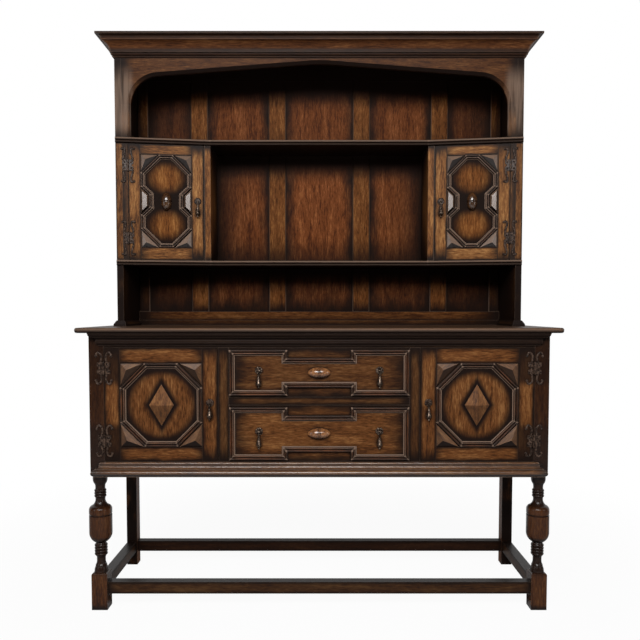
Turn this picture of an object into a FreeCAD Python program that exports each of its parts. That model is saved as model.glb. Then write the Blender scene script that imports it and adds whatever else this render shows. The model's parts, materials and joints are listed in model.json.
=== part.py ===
import FreeCAD, Part
import math
import os

# Oak dresser in the Jacobean style: a base with two cupboards and two drawers on turned legs,
# and above it a rack with an arched front, two canted cupboards and a panelled back.
# Millimetres, +X to the right, +Y to the back, +Z up, origin on the floor under the middle of the top.

V = FreeCAD.Vector

# Countertop
TOP_WIDTH = 1524.0
TOP_DEPTH = 486.0
TOP_THICK = 16.0
TOP_HEIGHT = 902.0
TOP_OVERHANG = 38.0
TOP_CORNER = 24.0
TOP_NOSE = 6.5

# Base frame
POST = 46.0
TOP_RAIL = 46.0
DOOR_BAY = 361.0
LOW_RAIL = 45.0
LOWER_BAY = 180.0
DIVIDER = 24.0
BAY_SHARE = 0.374
MUNTIN = 33.0
FRAME_THICK = 24.0
BACK_LEG_WIDE = 38.0
BACK_LEG_DEEP = 44.0
END_INSET = 4.0
END_THICK = 20.0
END_RAIL = 60.0
END_PANEL = 8.0
GROOVE = 8.0
FLOOR_STEP = 9.0
FLOOR_THICK = 16.0
PARTITION = 18.0
BACK_BOARD = 8.0

# Turned front legs and stretchers
BLOCK = 50.0
BLOCK_HIGH = 119.0
BLOCK_ROUND = 7.0
BULB_R = 36.0
BULB_GROOVE = 3.0
BULB_FOOT_R = 15.5
BULB_ROUND = 4.5
SHOULDER_IN = 10.5
SHOULDER_ROUND = 2.5
RING_R = 20.3
HIGH_RING_R = 18.8
RING_ROUND = 0.32
COLLAR_R = 21.7
BELL_R = 17.8
BELL_ROUND = 2.4
LOW_NECK_R = 13.7
HIGH_NECK_R = 15.4
NECK_FLARE = 1.2
COVER_FLARE = 3.2
TOP_FLARE = 1.6
CAP_IN = 2.6
CAP_ROUND = 0.6
STRETCHER_HIGH = 38.0
STRETCHER_THICK = 32.0
STRETCHER_LIFT = 50.0
STRETCHER_SETBACK = 9.0
TENON = 16.0
TENON_SHOULDER = 7.0

# Mouldings of the base
FRIEZE_HIGH = 40.0
FRIEZE_REACH = 31.0
PLINTH_HIGH = 44.0
PLINTH_REACH = 31.0
FRIEZE_MARGIN = 5.0
PLINTH_MARGIN = 9.0

# Fit of doors and drawers
HINGE_GAP = 1.2
FREE_GAP = 1.8
EDGE_GAP = 1.4
RUN_CLEAR = 0.3
SIDE_CLEAR = 1.5

# Base doors
DOOR_THICK = 22.0
DOOR_STILE = 49.0
DOOR_TOP_RAIL = 48.0
DOOR_LOW_RAIL = 44.0
PANEL_THICK = 8.0
PANEL_RECESS = 7.0
OCTAGON_SHARE = 0.298
OCTAGON_BAND = 18.0
BAND_HIGH = 10.0
LOZENGE_WIDE = 77.0
LOZENGE_HIGH = 130.0
LOZENGE_RISE = 17.0
BLOCK_RISE = 11.0
BLOCK_RIM = 3.0
BLOCK_MARGIN = 3.0

# Rack doors
RACK_DOOR_THICK = 20.0
RACK_DOOR_STILE = 41.0
RACK_DOOR_TOP_RAIL = 35.0
RACK_DOOR_LOW_RAIL = 43.0
RACK_CUT_SHARE = 0.363
RACK_BAND = 15.0
WAIST_SHARE = 0.165
WAIST_HALF = 20.0
WAIST_SLOPE = 27.0
WAIST_TOP = 5.0
EGG_LONG = 63.0
EGG_R = 18.0

# Drawers
DRAWER_FRONT = 20.0
DRAWER_SIDE = 12.0
DRAWER_BACK = 12.0
DRAWER_FLOOR = 6.0
DRAWER_FLOOR_LIFT = 10.0
DRAWER_LONG = 395.0
DRAWER_TOP_DROP = 12.0
DRAWER_BAND = 18.0
DRAWER_BAND_HIGH = 9.0
BAND_TOP_INSET = 6.0
BAND_LOW_INSET = 3.0
NOTCH_HALF = 100.0
NOTCH_DEEP = 26.0
OVAL_LONG = 72.0
OVAL_R = 18.0
BOSS_RING = 4.5
BOSS_GROOVE = 1.8
RUNNER_WIDE = 25.0
RUNNER_HIGH = 18.0

# Hinges with a pin in front of the face
HINGE_OUT = 4.6
KNUCKLE_R = 4.0
HINGE_PIN_R = 1.8
PIN_CLEAR = 0.05
KNUCKLE_CLEAR = 0.3
LEAF_THICK = 2.2
LEAF_BAR = 6.4
SCROLL_R = 4.4
HINGE_WEB = 36.0
WEB_SHARE = 0.74
WEB_NOTCH_R = 5.6
WEB_BOSS_R = 4.2
WEB_BOSS_SHARE = 0.29
FINIAL_R = 3.2
HINGE_REACH = 28.0
HINGE_HIGH = 106.0
HINGE_INSET = 64.0
RACK_HINGE_REACH = 24.0
RACK_HINGE_HIGH = 128.0
RACK_HINGE_INSET = 74.0

# Pendant pulls
ROSE_R = 13.0
ROSE_THICK = 2.4
ROSE_CORE = 0.7
PETALS = 8
PETAL_R = 5.0
PETAL_SINK = 2.4
PULL_OUT = 11.0
PULL_PIN_R = 1.5
EYE_R = 3.2
EYE_LONG = 4.0
EAR_THICK = 2.2
EAR_CLEAR = 0.4
DROP_LONG = 56.0
DROP_R = 8.5
PULL_RAISE = 6.0

# Rack
RACK_SETBACK = 66.0
RACK_DEPTH = 223.0
RACK_RISE = 980.0
RACK_END = 22.0
RACK_STILE = 40.0
CANT = 48.0
NICHE_SHARE = 0.545
RACK_PARTITION = 22.0
SHELF_THICK = 18.0
MIDDLE_SHELF_SHARE = 0.2327
HIGH_SHELF_SHARE = 0.658
NOSING = 10.0
ROOF_THICK = 12.0
ARCH_POST = 30.0
ARCH_THICK = 20.0
ARCH_HEAD = 215.0
ARCH_CORNER_R = 100.0
ARCH_SLOPE = 4.3
ARCH_APEX_R = 600.0
ARCH_EDGE = 10.0
ARCH_EDGE_DEEP = 9.0
CORNICE_HIGH = 70.0
CORNICE_REACH = 50.0
FOOT_HIGH = 20.0
FOOT_BASE = 7.0
FOOT_OUT = 12.0
FOOT_IN = 9.0
FOOT_TOP_OUT = 3.0

# Panelled back of the rack
BACK_THICK = 14.0
BACK_STILE = 40.0
BACK_LOW_RAIL = 51.0
BACK_TOP_RAIL = 70.0
BACK_MUNTIN = 63.0
INNER_MUNTIN_SHARE = 0.112
OUTER_MUNTIN_SHARE = 0.3193
BACK_PANEL = 6.0
BACK_BEAD = 4.0
SKIRTING_HIGH = 19.0
SKIRTING_THICK = 8.0

# Planes and edges that several pieces share
HALF_BODY = TOP_WIDTH / 2 - TOP_OVERHANG
FACE = TOP_OVERHANG - TOP_DEPTH / 2
BACK = TOP_DEPTH / 2
BODY_TOP = TOP_HEIGHT - TOP_THICK
LINTEL = BODY_TOP - TOP_RAIL
SILL = LINTEL - DOOR_BAY
BODY_BOTTOM = SILL - LOW_RAIL
DIVIDER_LOW = SILL + LOWER_BAY
DIVIDER_HIGH = DIVIDER_LOW + DIVIDER
FLOOR_TOP = SILL - FLOOR_STEP
POST_IN = HALF_BODY - POST
DRAWER_BAY = BAY_SHARE * TOP_WIDTH
DRAWER_PULL_X = DRAWER_BAY / 3
BAY_HALF = DRAWER_BAY / 2
MUNTIN_OUT = BAY_HALF + MUNTIN
BACK_FRONT = BACK - BACK_THICK
BACK_LEG_FRONT = BACK - BACK_LEG_DEEP
BACK_LEG_IN = HALF_BODY - BACK_LEG_WIDE
END_OUT = HALF_BODY - END_INSET
END_IN = END_OUT - END_THICK
FRAME_BACK = FACE + FRAME_THICK
LEG_X = HALF_BODY - POST / 2
LEG_Y = FACE + POST / 2
STRETCHER_TOP = STRETCHER_LIFT + STRETCHER_HIGH
RACK_HEIGHT = TOP_HEIGHT + RACK_RISE
MIDDLE_SHELF = TOP_HEIGHT + MIDDLE_SHELF_SHARE * RACK_RISE
HIGH_SHELF = TOP_HEIGHT + HIGH_SHELF_SHARE * RACK_RISE
RACK_HALF = TOP_WIDTH / 2 - RACK_SETBACK
RACK_IN = RACK_HALF - RACK_END
RACK_FACE = BACK - RACK_DEPTH
NICHE_HALF = NICHE_SHARE * RACK_HALF
STILE_IN = RACK_HALF - RACK_STILE
DIVIDER_OUT = NICHE_HALF + RACK_PARTITION
ROOF_LOW = RACK_HEIGHT - ROOF_THICK
ARCH_SPRING = ROOF_LOW - ARCH_HEAD
INNER_MUNTIN_X = INNER_MUNTIN_SHARE * 2 * RACK_HALF
OUTER_MUNTIN_X = OUTER_MUNTIN_SHARE * 2 * RACK_HALF
CANT_ANGLE = math.degrees(math.atan2(CANT, RACK_HALF - NICHE_HALF))
CANT_LENGTH = 1 / math.cos(math.radians(CANT_ANGLE))


def cant_y(x):
    """Depth of the canted cupboard front at a distance x from the middle."""
    return RACK_FACE + CANT * (RACK_HALF - x) / (RACK_HALF - NICHE_HALF)


# General shapes

def box(x0, x1, y0, y1, z0, z1):
    return Part.makeBox(x1 - x0, y1 - y0, z1 - z0, V(x0, y0, z0))


def mirrored(shape):
    return shape.mirror(V(0, 0, 0), V(1, 0, 0))


def both_sides(shape):
    return [shape, mirrored(shape)]


def polygon_face(points):
    return Part.Face(Part.makePolygon(points + points[:1]))


def prism(outline, z0, z1):
    """Upright prism on an outline of (x, y) points."""
    return polygon_face([V(x, y, z0) for x, y in outline]).extrude(V(0, 0, z1 - z0))


def inset(outline, distance):
    """Outline moved inwards by the same distance on every side."""
    corners = [V(x, y, 0) for x, y in outline]
    area = sum(a.x * b.y - b.x * a.y for a, b in zip(corners, corners[1:] + corners[:1]))
    turn = math.copysign(distance, area)
    moved_in = []
    for i, corner in enumerate(corners):
        before = (corner - corners[i - 1]).normalize()
        after = (corners[(i + 1) % len(corners)] - corner).normalize()
        spread = turn / (1 + before.dot(after))
        moved_in.append((corner.x - (before.y + after.y) * spread, corner.y + (before.x + after.x) * spread))
    return moved_in


def gem(outline, rim, top):
    """Faceted block: an outline, a low rim, and a top of one point or of as many points."""
    foot = [V(x, y, 0) for x, y in outline]
    edge = [V(x, y, rim) for x, y in outline]
    faces = [polygon_face(foot)]
    for i in range(len(outline)):
        j = (i + 1) % len(outline)
        faces.append(polygon_face([foot[i], foot[j], edge[j], edge[i]]))
        if len(top) == 1:
            faces.append(polygon_face([edge[i], edge[j], V(*top[0])]))
        else:
            faces.append(polygon_face([edge[i], edge[j], V(*top[j]), V(*top[i])]))
    if len(top) > 1:
        faces.append(polygon_face([V(*point) for point in top]))
    return Part.makeSolid(Part.makeShell(faces))


def profile_edges(profile, place):
    """Edges of a profile: (x, y) ends a line, (x, y, via_x, via_y) ends an arc."""
    edges = []
    last = place(*profile[0])
    for item in profile[1:]:
        point = place(item[0], item[1])
        if len(item) == 4:
            edges.append(Part.Arc(last, place(item[2], item[3]), point).toShape())
        else:
            edges.append(Part.makeLine(last, point))
        last = point
    return edges


def profile_face(profile, place):
    edges = profile_edges(profile, place)
    edges.append(Part.makeLine(place(*profile[-1][:2]), place(*profile[0])))
    return Part.Face(Part.Wire(edges))


def scaled_profile(profile, reach, rise):
    """Profile drawn on a unit square, at its real reach and rise."""
    scale = (reach, rise, reach, rise)
    return [tuple(value * size for value, size in zip(item, scale)) for item in profile]


def turned(profile):
    """Turning about the Z axis of a profile of radii and heights."""
    face = profile_face(profile, lambda radius, height: V(radius, 0, height))
    return face.revolve(V(0, 0, 0), V(0, 0, 1), 360)


def beyond(point, normal, size):
    """Block that fills the space past a plane."""
    block = Part.makeBox(size, 2 * size, 2 * size, V(0, -size, -size))
    block.Placement = FreeCAD.Placement(point, FreeCAD.Rotation(V(1, 0, 0), normal))
    return block


def mitred_runs(path, profile, closed):
    """Moulding along a flat path, mitred at each corner: it reaches to the left and rises along Z."""
    reach = max(item[0] for item in profile)
    size = 4 * max(reach, max(item[1] for item in profile))
    count = len(path)
    corners = [V(x, y, 0) for x, y in path]
    legs = count if closed else count - 1
    ways = [(corners[(i + 1) % count] - corners[i]).normalize() for i in range(legs)]
    runs = []
    for i in range(legs):
        way = ways[i]
        left = V(-way.y, way.x, 0)
        start = corners[i]
        end = corners[(i + 1) % count]
        face = profile_face(profile, lambda r, z: start - way * reach + left * r + V(0, 0, z))
        run = face.extrude(end - start + way * (2 * reach))
        before = ways[i - 1] if closed or i > 0 else way
        after = ways[(i + 1) % legs] if closed or i < legs - 1 else way
        run = run.cut(beyond(start, -(before + way), size))
        run = run.cut(beyond(end, way + after, size))
        runs.append(run.Solids[0])
    return runs


def returned_moulding(profile, half_length, face_y, z0):
    """Straight moulding on a face, with its own profile returned at both ends."""
    reach = max(max(item[0::2]) for item in profile)
    length = half_length + reach
    front = profile_face(profile, lambda r, z: V(-length, face_y - r, z0 + z)).extrude(V(2 * length, 0, 0))
    right = profile_edges(profile, lambda r, z: V(half_length + r, face_y, z0 + z))
    left = profile_edges(profile, lambda r, z: V(-half_length - r, face_y, z0 + z))
    foot = Part.makeLine(V(-half_length, face_y, z0), V(half_length, face_y, z0))
    height = z0 + profile[-1][1]
    head = Part.makeLine(V(-half_length, face_y, height), V(half_length, face_y, height))
    outline = Part.Wire(Part.__sortEdges__(right + left + [foot, head]))
    sides = Part.Face(outline).extrude(V(0, -reach, 0))
    return front.common(sides).Solids[0]


def stood(shape):
    """Piece drawn flat, face up, stood up to face the front."""
    copy = shape.copy()
    copy.rotate(V(0, 0, 0), V(1, 0, 0), 90)
    return copy


def on_base(shapes, x, z):
    """Flat pieces stood on the front of the base."""
    placed = [stood(shape) for shape in shapes]
    for shape in placed:
        shape.translate(V(x, FACE, z))
    return placed


def on_cant(shapes, x, z):
    """Flat pieces stood on the left canted front of the rack."""
    placed = [stood(shape) for shape in shapes]
    for shape in placed:
        shape.rotate(V(0, 0, 0), V(0, 0, 1), CANT_ANGLE)
        shape.translate(V(-x, cant_y(x), z))
    return placed


def write(name, solids):
    shape = solids[0] if len(solids) == 1 else Part.makeCompound(solids)
    shape.exportStep("parts/" + name + ".step")


# Profiles and hinge arms on a unit square: reach, rise

DOUBLE_BEAD = [(0, 0), (0, 0.74), (0.4, 0.74, 0.2, 1.0), (0.45, 0.5), (0.52, 0.5),
               (0.8, 0.54, 0.66, 0.76), (1.0, 0.16, 0.87, 0.25), (1.0, 0)]
FRIEZE = [(0, 0), (0.16, 0), (0.16, 0.1), (0.3, 0.28, 0.3, 0.14), (0.36, 0.28), (0.36, 0.36),
          (0.68, 0.66, 0.4, 0.6), (0.74, 0.66), (0.74, 0.74), (0.95, 0.9, 0.92, 0.78), (1.0, 0.9),
          (1.0, 1.0), (0, 1.0)]
PLINTH = [(0, 0), (0.76, 0), (0.76, 0.05), (0.76, 0.49, 1.0, 0.27), (0.68, 0.49), (0.68, 0.56),
          (0.36, 0.82, 0.42, 0.62), (0.3, 0.82), (0.3, 0.88), (0.14, 1.0, 0.26, 0.96), (0, 1.0)]
CORNICE = [(0, 0), (0.06, 0), (0.06, 0.09, 0.11, 0.045), (0.12, 0.09), (0.12, 0.21, 0.19, 0.15),
           (0.24, 0.21), (0.24, 0.27), (0.66, 0.7, 0.36, 0.54), (0.72, 0.7), (0.72, 0.75),
           (0.93, 0.9, 0.78, 0.88), (1.0, 0.9), (1.0, 1.0), (0, 1.0)]
DROP = [(0, 1.0), (0.22, 0.885, 0.44, 0.94), (1.0, 0.7, 0.84, 0.82), (0.3, 0.32, 0.58, 0.5), (0.46, 0.3),
        (0.46, 0.26), (0.22, 0.23), (0.22, 0), (0, 0)]
HOOK_ARM = [(0.36, 0.2), (0.28, 0.5), (0.29, 0.77), (0.57, 0.93), (0.86, 0.73)]
WAVE_ARM = [(0.4, 0.12), (0.66, 0.36), (0.44, 0.64), (0.48, 0.88), (0.82, 0.86)]
NOSE = [(0, 0), (0.62, 0), (0.62, 0.36, 0.86, 0.18), (0.55, 0.42), (0.72, 0.48), (0.72, 1.0, 1.0, 0.74),
        (0, 1.0)]


# Base carcase

def leg_level(share):
    """Height of a point of the turning, from the foot block up to the carcase."""
    return BLOCK_HIGH + share * (BODY_BOTTOM - BLOCK_HIGH)


def leg_rings(count, start, pitch, radius):
    """Round rings one above the other, from a share of the height of the turning."""
    round_r = radius - RING_ROUND * pitch * (BODY_BOTTOM - BLOCK_HIGH)
    rings = [(round_r, start)]
    for ring in range(count):
        top = start + pitch * (ring + 1)
        rings.append((round_r, top, radius, top - pitch / 2))
    return rings


def leg_profile():
    """Cup-and-cover turning: radii at shares of its height."""
    groove_r = BULB_R - BULB_GROOVE
    shoulder_r = BULB_R - SHOULDER_IN
    shares = [(0, 0), (COLLAR_R, 0), (BELL_R, 0.058, BELL_R + BELL_ROUND, 0.038), (BELL_R, 0.07),
              (LOW_NECK_R, 0.112, LOW_NECK_R + NECK_FLARE, 0.088), (LOW_NECK_R, 0.15)]
    shares += leg_rings(4, 0.17, 0.0295, RING_R)
    shares += [(BULB_FOOT_R, 0.302), (BULB_R, 0.412, BULB_R - BULB_ROUND, 0.35), (BULB_R, 0.582),
               (groove_r, 0.586), (groove_r, 0.595), (BULB_R, 0.6), (BULB_R, 0.637),
               (shoulder_r, 0.683, BULB_R - SHOULDER_ROUND, 0.664),
               (HIGH_NECK_R, 0.738, HIGH_NECK_R + COVER_FLARE, 0.708), (HIGH_NECK_R, 0.757)]
    shares += leg_rings(3, 0.766, 0.0272, HIGH_RING_R)
    shares += [(HIGH_NECK_R, 0.858), (HIGH_NECK_R, 0.872),
               (POST / 2 - CAP_IN, 0.916, HIGH_NECK_R + TOP_FLARE, 0.9),
               (POST / 2, 0.955, POST / 2 - CAP_ROUND, 0.936), (POST / 2, 1.0), (0, 1.0)]
    profile = []
    for item in shares:
        heights = (item[0], leg_level(item[1]))
        if len(item) == 4:
            heights += (item[2], leg_level(item[3]))
        profile.append(heights)
    return profile


def tenon_z():
    return STRETCHER_LIFT + TENON_SHOULDER, STRETCHER_TOP - TENON_SHOULDER


def long_stretcher(half_length, y0):
    """Stretcher along X between two legs, with a tenon at each end."""
    y1 = y0 + STRETCHER_THICK
    bar = box(-half_length, half_length, y0, y1, STRETCHER_LIFT, STRETCHER_TOP)
    tongue = box(-half_length - TENON, half_length + TENON, y0 + TENON_SHOULDER, y1 - TENON_SHOULDER,
                 *tenon_z())
    return bar.fuse(tongue).removeSplitter()


def front_stretcher():
    return long_stretcher(LEG_X - BLOCK / 2, LEG_Y - BLOCK / 2 + STRETCHER_SETBACK)


def back_stretcher():
    return long_stretcher(BACK_LEG_IN, BACK_LEG_FRONT + (BACK_LEG_DEEP - STRETCHER_THICK) / 2)


def side_stretcher():
    middle = HALF_BODY - BACK_LEG_WIDE / 2
    x0 = middle - STRETCHER_THICK / 2
    x1 = middle + STRETCHER_THICK / 2
    y0 = LEG_Y + BLOCK / 2
    bar = box(x0, x1, y0, BACK_LEG_FRONT, STRETCHER_LIFT, STRETCHER_TOP)
    tongue = box(x0 + TENON_SHOULDER, x1 - TENON_SHOULDER, y0 - TENON / 2, BACK_LEG_FRONT + TENON / 2,
                 *tenon_z())
    return bar.fuse(tongue).removeSplitter()


def front_leg(stretchers):
    post = box(LEG_X - POST / 2, LEG_X + POST / 2, FACE, FACE + POST, BODY_BOTTOM, BODY_TOP)
    turning = turned(leg_profile())
    turning.translate(V(LEG_X, LEG_Y, 0))
    half = BLOCK / 2
    block = box(LEG_X - half, LEG_X + half, LEG_Y - half, LEG_Y + half, 0, BLOCK_HIGH)
    rim = [edge for edge in block.Edges if all(abs(v.Z - BLOCK_HIGH) < 0.01 for v in edge.Vertexes)]
    block = block.makeFillet(BLOCK_ROUND, rim)
    leg = block.fuse(turning).fuse(post).removeSplitter()
    for stretcher in stretchers:
        leg = leg.cut(stretcher)
    return leg.Solids[0]


def back_leg(stretchers):
    leg = box(BACK_LEG_IN, HALF_BODY, BACK_LEG_FRONT, BACK, 0, BODY_TOP)
    for stretcher in stretchers:
        leg = leg.cut(stretcher)
    return leg


def countertop():
    half = TOP_WIDTH / 2
    slab = box(-half, half, -TOP_DEPTH / 2, BACK, BODY_TOP, TOP_HEIGHT)
    front_corners = [edge for edge in slab.Edges
                     if all(v.Y < 0 for v in edge.Vertexes) and edge.Vertexes[0].Z != edge.Vertexes[1].Z]
    slab = slab.makeFillet(TOP_CORNER, front_corners)
    rims = []
    for edge in slab.Edges:
        middle = edge.CenterOfMass
        level = all(v.Z == edge.Vertexes[0].Z for v in edge.Vertexes)
        if level and middle.y < BACK - 1:
            rims.append(edge)
    return slab.makeFillet(TOP_NOSE, rims)


def front_frame():
    top_rail = box(-POST_IN, POST_IN, FACE, FRAME_BACK, LINTEL, BODY_TOP)
    low_rail = box(-POST_IN, POST_IN, FACE, FRAME_BACK, BODY_BOTTOM, SILL)
    divider = box(-BAY_HALF, BAY_HALF, FACE, FRAME_BACK, DIVIDER_LOW, DIVIDER_HIGH)
    muntin = box(BAY_HALF, MUNTIN_OUT, FACE, FRAME_BACK, SILL, LINTEL)
    return [top_rail, low_rail, divider] + both_sides(muntin)


def base_end():
    """Right end of the carcase: two rails with a panel let into them, the post and the back leg."""
    y0 = FACE + POST
    middle = (END_OUT + END_IN) / 2
    panel = box(middle - END_PANEL / 2, middle + END_PANEL / 2, y0, BACK_LEG_FRONT,
                BODY_BOTTOM + END_RAIL - GROOVE, BODY_TOP - END_RAIL + GROOVE)
    low_rail = box(END_IN, END_OUT, y0, BACK_LEG_FRONT, BODY_BOTTOM, BODY_BOTTOM + END_RAIL).cut(panel)
    top_rail = box(END_IN, END_OUT, y0, BACK_LEG_FRONT, BODY_TOP - END_RAIL, BODY_TOP).cut(panel)
    return [low_rail, top_rail, panel]


def floor_board():
    board = box(-END_IN, END_IN, FRAME_BACK, BACK_FRONT, FLOOR_TOP - FLOOR_THICK, FLOOR_TOP)
    post = box(POST_IN, HALF_BODY, FACE, FACE + POST, 0, BODY_TOP)
    leg = box(BACK_LEG_IN, HALF_BODY, BACK_LEG_FRONT, BACK, 0, BODY_TOP)
    for piece in both_sides(post) + both_sides(leg):
        board = board.cut(piece)
    return board


def partition():
    return box(BAY_HALF, BAY_HALF + PARTITION, FRAME_BACK, BACK_FRONT, FLOOR_TOP, BODY_TOP)


def drawer_runners():
    """Right runners under both drawers, and the kicker above the upper one."""
    inner = BAY_HALF - RUNNER_WIDE
    low = box(inner, BAY_HALF, FRAME_BACK, BACK_FRONT, FLOOR_TOP, SILL)
    high = box(inner, BAY_HALF, FRAME_BACK, BACK_FRONT, DIVIDER_HIGH - RUNNER_HIGH, DIVIDER_HIGH)
    kicker = box(inner, BAY_HALF, FRAME_BACK, BACK_FRONT, LINTEL, LINTEL + RUNNER_HIGH)
    return [low, high, kicker]


def base_back():
    return box(-BACK_LEG_IN, BACK_LEG_IN, BACK_FRONT, BACK_FRONT + BACK_BOARD, BODY_BOTTOM, BODY_TOP)


# Ornament, drawn flat with its foot at height 0

def split_turning(length, radius):
    """Half of a turned oval with two rings round its middle, lying along X."""
    half = length / 2
    oval = Part.Ellipse(V(half, 0, 0), V(0, radius, 0), V(0, 0, 0))
    shoulder = math.acos(BOSS_RING / half)
    right = Part.ArcOfEllipse(oval, 0, shoulder).toShape()
    left = Part.ArcOfEllipse(oval, math.pi - shoulder, math.pi).toShape()
    high = radius * math.sin(shoulder)
    low = high - BOSS_GROOVE
    rings = profile_edges([(BOSS_RING, high), (BOSS_RING, low), (0, low, BOSS_RING / 2, high),
                           (-BOSS_RING, low, -BOSS_RING / 2, high), (-BOSS_RING, high)],
                          lambda x, r: V(x, r, 0))
    foot = Part.makeLine(V(-half, 0, 0), V(half, 0, 0))
    outline = Part.Wire([right] + rings + [left, foot])
    return Part.Face(outline).revolve(V(0, 0, 0), V(1, 0, 0), 180)


def corner_blocks(x0, x1, y0, y1, cut):
    """Three-sided pyramids in the corners of a rectangle, outside its octagon."""
    side = cut - BLOCK_MARGIN
    blocks = []
    for x, sign_x in ((x0, 1), (x1, -1)):
        for y, sign_y in ((y0, 1), (y1, -1)):
            outline = [(x, y), (x + sign_x * side, y), (x, y + sign_y * side)]
            peak = (x + sign_x * side * 0.29, y + sign_y * side * 0.29, BLOCK_RISE)
            blocks.append(gem(outline, BLOCK_RIM, [peak]))
    return blocks


def octagon_ornament(x0, x1, y0, y1):
    cut = OCTAGON_SHARE * (x1 - x0)
    path = [(x0 + cut, y0), (x1 - cut, y0), (x1, y0 + cut), (x1, y1 - cut),
            (x1 - cut, y1), (x0 + cut, y1), (x0, y1 - cut), (x0, y0 + cut)]
    strips = mitred_runs(path, scaled_profile(DOUBLE_BEAD, OCTAGON_BAND, BAND_HIGH), True)
    x = (x0 + x1) / 2
    y = (y0 + y1) / 2
    lozenge = gem([(x - LOZENGE_WIDE / 2, y), (x, y - LOZENGE_HIGH / 2), (x + LOZENGE_WIDE / 2, y),
                   (x, y + LOZENGE_HIGH / 2)], BLOCK_RIM, [(x, y, LOZENGE_RISE)])
    return strips + corner_blocks(x0, x1, y0, y1, cut) + [lozenge]


def waist_block(x, y, waist, sign):
    """Truncated pyramid in the waist of a waisted octagon."""
    deep = waist - BLOCK_MARGIN
    tall = WAIST_HALF + WAIST_SLOPE - BLOCK_MARGIN
    short = tall - WAIST_SLOPE * deep / waist
    outline = [(x, y - tall), (x + sign * deep, y - short), (x + sign * deep, y + short), (x, y + tall)]
    return gem(outline, BLOCK_RIM, [point + (BLOCK_RISE,) for point in inset(outline, WAIST_TOP)])


def waisted_ornament(x0, x1, y0, y1):
    cut = RACK_CUT_SHARE * (x1 - x0)
    waist = WAIST_SHARE * (x1 - x0)
    y = (y0 + y1) / 2
    knee = WAIST_HALF + WAIST_SLOPE
    right = [(x1, y0 + cut), (x1, y - knee), (x1 - waist, y - WAIST_HALF),
             (x1 - waist, y + WAIST_HALF), (x1, y + knee), (x1, y1 - cut)]
    left = [(x0 + x1 - px, py) for px, py in reversed(right)]
    path = [(x0 + cut, y0), (x1 - cut, y0)] + right + [(x1 - cut, y1), (x0 + cut, y1)] + left
    strips = mitred_runs(path, scaled_profile(DOUBLE_BEAD, RACK_BAND, BAND_HIGH), True)
    egg = split_turning(EGG_LONG, EGG_R)
    egg.rotate(V(0, 0, 0), V(0, 0, 1), 90)
    egg.translate(V((x0 + x1) / 2, y, 0))
    blocks = corner_blocks(x0, x1, y0, y1, cut) + [waist_block(x0, y, waist, 1), waist_block(x1, y, waist, -1)]
    return strips + blocks + [egg]


def notched_ornament(width, height):
    """Drawer moulding: a frame that steps in at the middle of its long sides, round an oval boss."""
    x0 = width / 2 - NOTCH_HALF
    x1 = width / 2 + NOTCH_HALF
    low = BAND_LOW_INSET
    high = height - BAND_TOP_INSET
    path = [(0, low), (x0, low), (x0, low + NOTCH_DEEP), (x1, low + NOTCH_DEEP), (x1, low), (width, low),
            (width, high), (x1, high), (x1, high - NOTCH_DEEP), (x0, high - NOTCH_DEEP), (x0, high), (0, high)]
    strips = mitred_runs(path, scaled_profile(DOUBLE_BEAD, DRAWER_BAND, DRAWER_BAND_HIGH), True)
    oval = split_turning(OVAL_LONG, OVAL_R)
    oval.translate(V(width / 2, (low + high) / 2, 0))
    return strips + [oval]


# Fittings, drawn flat on a face at height 0

def pull_rose():
    """Rose of domed petals with two ears that carry the pin of a pendant."""
    rose = Part.makeCylinder(ROSE_CORE * ROSE_R, ROSE_THICK)
    petal_x = ROSE_R - math.sqrt(PETAL_R ** 2 - PETAL_SINK ** 2)
    for turn in range(PETALS):
        petal = Part.makeSphere(PETAL_R, V(petal_x, 0, -PETAL_SINK))
        petal.rotate(V(0, 0, 0), V(0, 0, 1), (turn + 0.5) * 360 / PETALS)
        rose = rose.fuse(petal)
    rose = rose.common(Part.makeCylinder(ROSE_R, PULL_OUT))
    inner = EYE_LONG / 2 + EAR_CLEAR
    outer = inner + EAR_THICK
    for x in (inner, -outer):
        ear = box(x, x + EAR_THICK, -EYE_R, EYE_R, ROSE_THICK / 2, PULL_OUT)
        tip = Part.makeCylinder(EYE_R, EAR_THICK, V(x, 0, PULL_OUT), V(1, 0, 0))
        rose = rose.fuse(ear).fuse(tip)
    pin = Part.makeCylinder(PULL_PIN_R, 2 * outer, V(-outer, 0, PULL_OUT), V(1, 0, 0))
    return rose.fuse(pin).removeSplitter().Solids[0]


def pull_drop():
    """Pear-shaped pendant, hung by an eye on the pin of its rose."""
    body = turned(scaled_profile(DROP, DROP_R, -DROP_LONG))
    body.rotate(V(0, 0, 0), V(1, 0, 0), -90)
    body.translate(V(0, 0, PULL_OUT))
    eye = Part.makeCylinder(EYE_R, EYE_LONG, V(-EYE_LONG / 2, 0, PULL_OUT), V(1, 0, 0))
    bore = Part.makeCylinder(PULL_PIN_R + PIN_CLEAR, 2 * EYE_LONG, V(-EYE_LONG, 0, PULL_OUT), V(1, 0, 0))
    return body.fuse(eye).cut(bore).removeSplitter().Solids[0]


def hinge_arm(arm, reach, half_high):
    """Round bar that winds from the web of a leaf to a ball."""
    points = [V(x * reach, y * half_high, 0) for x, y in arm]
    curve = Part.BSplineCurve()
    curve.interpolate(points)
    way = curve.tangent(curve.FirstParameter)[0]
    section = Part.Wire(Part.makeCircle(LEAF_BAR / 2, points[0], way))
    bar = Part.Wire(curve.toShape()).makePipe(Part.Face(section))
    return bar.fuse(Part.makeSphere(SCROLL_R, points[-1]))


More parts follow.
